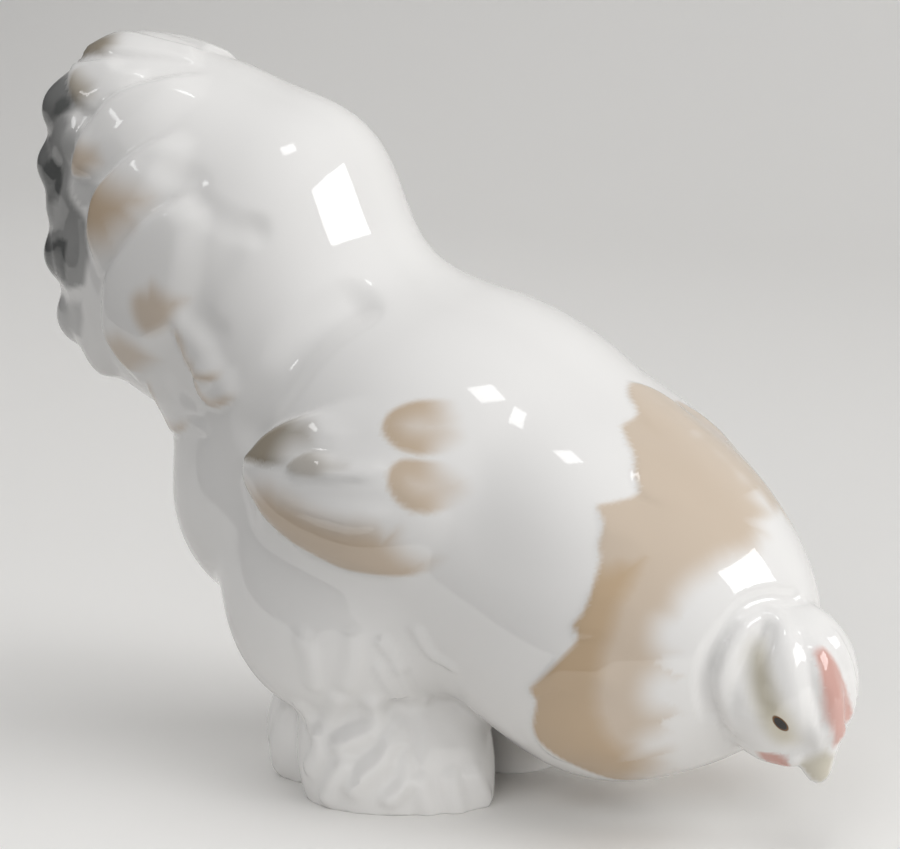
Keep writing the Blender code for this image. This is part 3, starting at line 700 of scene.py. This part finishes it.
def eye_frames():
    """Each eye's middle and rotation, with its long side first and its outward side last."""
    middle = traced(EYE_SEEN)
    out = outward(middle)
    middle = middle + out * carving(middle)[:, None]
    out, middle = Vector(out[0]), Vector(fitted(middle)[0])
    level = Vector((0, 0, 1)).cross(out).normalized()
    slant = Matrix.Rotation(math.radians(EYE_SLANT), 3, out)
    long_side = slant @ level
    facing = math.radians(HEAD_FACING)
    flip = Vector((-math.sin(facing), math.cos(facing), 0))
    head = Vector(fitted(np.array(FACE[0].centre)))
    mirrored = [side - 2 * side.dot(flip) * flip for side in (long_side, out, middle - head)]
    for long_side, out, middle in ((long_side, out, middle), (*mirrored[:2], head + mirrored[2])):
        short_side = out.cross(long_side)
        yield middle, Matrix((long_side, short_side, out)).transposed()


# Glaze
# One clear glossy coat over the white body, its colours and the painted eyes, fired to a
# smooth skin with a faint ripple in it.
WHITE = (0.80, 0.79, 0.775, 1)
TAN = (0.52, 0.39, 0.26, 1)
UMBER = (0.29, 0.245, 0.18, 1)
SLATE = (0.115, 0.118, 0.115, 1)
PINK = (0.60, 0.33, 0.28, 1)
# Cream for the beak; round the eye and over the lower face it is partly painted shade.
CREAM_AND_SHADE = (0.56, 0.52, 0.42, 1)
EYE_RIM = (0.16, 0.07, 0.02, 1)
EYE_DARK = (0.012, 0.009, 0.007, 1)
GLAZE_ROUGHNESS = 0.055
GLAZE_IOR = 1.6
RIPPLE_SCALE = 70
RIPPLE_HEIGHT = 0.00003


def tinted(tree, colour, strength, tint):
    """A colour with a tint laid over it as strongly as a socket says."""
    coat = tree.nodes.new("ShaderNodeMix")
    coat.data_type = "RGBA"
    tree.links.new(strength, coat.inputs["Factor"])
    if isinstance(colour, tuple):
        coat.inputs[6].default_value = colour
    else:
        tree.links.new(colour, coat.inputs[6])
    coat.inputs[7].default_value = tint
    return coat.outputs[2]


def eye_share(tree, places, middle, turn):
    """How far out a point lies in an eye, as a share of its size."""
    put = tree.nodes.new("ShaderNodeMapping")
    put.vector_type = "TEXTURE"
    put.inputs["Location"].default_value = middle
    put.inputs["Rotation"].default_value = turn.to_euler()
    put.inputs["Scale"].default_value = EYE_SIZE
    tree.links.new(places, put.inputs["Vector"])
    length = tree.nodes.new("ShaderNodeVectorMath")
    length.operation = "LENGTH"
    tree.links.new(put.outputs["Vector"], length.inputs[0])
    return length.outputs["Value"]


def within(tree, share, start, end):
    """A mask that falls from 1 to 0 between two shares."""
    edge = tree.nodes.new("ShaderNodeMapRange")
    edge.interpolation_type = "SMOOTHSTEP"
    edge.inputs["From Min"].default_value = start
    edge.inputs["From Max"].default_value = end
    edge.inputs["To Min"].default_value = 1
    edge.inputs["To Max"].default_value = 0
    tree.links.new(share, edge.inputs["Value"])
    return edge.outputs["Result"]


def glazed_porcelain():
    """White porcelain with soft colours and painted eyes under a clear, glossy glaze."""
    material = bpy.data.materials.new("glazed_porcelain")
    material.use_nodes = True
    tree = material.node_tree
    shader = tree.nodes["Principled BSDF"]
    shader.inputs["Roughness"].default_value = GLAZE_ROUGHNESS
    shader.inputs["IOR"].default_value = GLAZE_IOR
    colour = WHITE
    for layer, tints in (("body_paint", (TAN, UMBER, SLATE)), ("face_paint", (PINK, CREAM_AND_SHADE))):
        paint = tree.nodes.new("ShaderNodeAttribute")
        paint.attribute_name = layer
        strengths = tree.nodes.new("ShaderNodeSeparateColor")
        tree.links.new(paint.outputs["Color"], strengths.inputs["Color"])
        for strength, tint in zip(strengths.outputs, tints):
            colour = tinted(tree, colour, strength, tint)
    places = tree.nodes.new("ShaderNodeTexCoord").outputs["Object"]
    for middle, turn in eye_frames():
        share = eye_share(tree, places, middle, turn)
        colour = tinted(tree, colour, within(tree, share, RIM_FROM, RIM_UP_TO), EYE_RIM)
        colour = tinted(tree, colour, within(tree, share, DARK_UP_TO, RIM_FROM), EYE_DARK)
    tree.links.new(colour, shader.inputs["Base Color"])
    ripple = tree.nodes.new("ShaderNodeTexNoise")
    ripple.inputs["Scale"].default_value = RIPPLE_SCALE
    ripple.inputs["Detail"].default_value = 1
    tree.links.new(places, ripple.inputs["Vector"])
    swell = tree.nodes.new("ShaderNodeBump")
    swell.inputs["Strength"].default_value = 1
    swell.inputs["Distance"].default_value = RIPPLE_HEIGHT
    tree.links.new(ripple.outputs["Fac"], swell.inputs["Height"])
    tree.links.new(swell.outputs["Normal"], shader.inputs["Normal"])
    return material


hen_mesh.materials.clear()
hen_mesh.materials.append(glazed_porcelain())
casting = bpy.data.objects.new("porcelain_hen", hen_mesh)
bpy.context.scene.collection.objects.link(casting)
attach(casting, "root")
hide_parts("hen_figurine")

# Floor
# A sheet of pale card that rises behind the hen in one wide bend. It ends just in
# front of her, below the picture, and the glaze mirrors its edge.
FLOOR_WIDTH = 3.0
FLOOR_FRONT = -0.135
FLOOR_BEND = 0.5
BEND_START = 0.7
BEND_STEPS = 24
WALL_HEIGHT = 1.6
FLOOR_COLOUR = (0.86, 0.85, 0.83, 1)
FLOOR_ROUGHNESS = 0.7


def card_sheet():
    """The floor, its bend and the wall behind, swept up from one front edge."""
    sheet = bmesh.new()
    ends = [sheet.verts.new((side * FLOOR_WIDTH / 2, FLOOR_FRONT, 0)) for side in (-1, 1)]
    front = sheet.edges.new(ends)
    flat = bmesh.ops.extrude_edge_only(sheet, edges=[front])["geom"]
    back = [part for part in flat if isinstance(part, bmesh.types.BMVert)]
    bmesh.ops.translate(sheet, verts=back, vec=(0, BEND_START - FLOOR_FRONT, 0))
    edge = [part for part in flat if isinstance(part, bmesh.types.BMEdge) and set(part.verts) == set(back)]
    bend = bmesh.ops.spin(sheet, geom=back + edge, cent=(0, BEND_START, FLOOR_BEND), axis=(1, 0, 0),
                          angle=math.radians(90), steps=BEND_STEPS)["geom_last"]
    top = [part for part in bend if isinstance(part, bmesh.types.BMEdge)]
    wall = bmesh.ops.extrude_edge_only(sheet, edges=top)["geom"]
    rim = [part for part in wall if isinstance(part, bmesh.types.BMVert)]
    bmesh.ops.translate(sheet, verts=rim, vec=(0, 0, WALL_HEIGHT - FLOOR_BEND))
    bmesh.ops.recalc_face_normals(sheet, faces=sheet.faces)
    mesh = bpy.data.meshes.new("floor")
    sheet.to_mesh(mesh)
    sheet.free()
    mesh.shade_smooth()
    return mesh


def card():
    """Matt pale card."""
    material = bpy.data.materials.new("pale_card")
    material.use_nodes = True
    shader = material.node_tree.nodes["Principled BSDF"]
    shader.inputs["Base Color"].default_value = FLOOR_COLOUR
    shader.inputs["Roughness"].default_value = FLOOR_ROUGHNESS
    return material


floor_mesh = card_sheet()
floor_mesh.materials.append(card())
floor = bpy.data.objects.new("floor", floor_mesh)
bpy.context.scene.collection.objects.link(floor)
floor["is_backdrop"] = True

# Lamps
# A wide softbox beyond the head, a small one nearly overhead and a faint one to the left
# are mirrored in the glaze. Broad bounce cards above, in front and behind fill the shadows.
Softbox = namedtuple("Softbox", "name azimuth elevation width height watts mirrored")
LAMP_DISTANCE = 1.3
HEN_MIDDLE = Vector((0, 0, 0.08))
SOFTBOXES = (
    Softbox("side_softbox", 100, 28, 0.90, 0.38, 6.0, True),
    Softbox("top_softbox", 62, 73, 0.24, 0.18, 0.6, True),
    Softbox("left_softbox", -40, 35, 0.14, 0.16, 0.3, True),
    Softbox("front_card", 0, 30, 1.00, 0.60, 6.0, False),
    Softbox("low_card", 78, 8, 0.90, 0.40, 5.0, False),
    Softbox("ceiling_card", 30, 80, 1.20, 1.20, 7.4, False),
    Softbox("rear_card", -120, 40, 1.00, 0.80, 3.2, False),
)
ROOM_GREY = (0.03, 0.03, 0.032, 1)
BACKDROP_GREY = (0.58, 0.575, 0.56, 1)


def softbox(box):
    """A flat, evenly lit panel that faces the hen."""
    lamp = bpy.data.lights.new(box.name, "AREA")
    lamp.shape = "RECTANGLE"
    lamp.size = box.width
    lamp.size_y = box.height
    lamp.energy = box.watts
    place = HEN_MIDDLE + towards(box.azimuth, box.elevation) * LAMP_DISTANCE
    holder = aimed(lamp, box.name, place, HEN_MIDDLE)
    holder.visible_glossy = box.mirrored


for box in SOFTBOXES:
    softbox(box)


def dim_room():
    """A dim room round the floor, which the camera sees as a pale backdrop."""
    world = bpy.data.worlds.new("room")
    world.use_nodes = True
    tree = world.node_tree
    seen = tree.nodes.new("ShaderNodeMix")
    seen.data_type = "RGBA"
    tree.links.new(tree.nodes.new("ShaderNodeLightPath").outputs["Is Camera Ray"], seen.inputs["Factor"])
    seen.inputs[6].default_value = ROOM_GREY
    seen.inputs[7].default_value = BACKDROP_GREY
    tree.links.new(seen.outputs[2], tree.nodes["Background"].inputs["Color"])
    return world


bpy.context.scene.world = dim_room()
bpy.context.scene.view_settings.view_transform = "Standard"
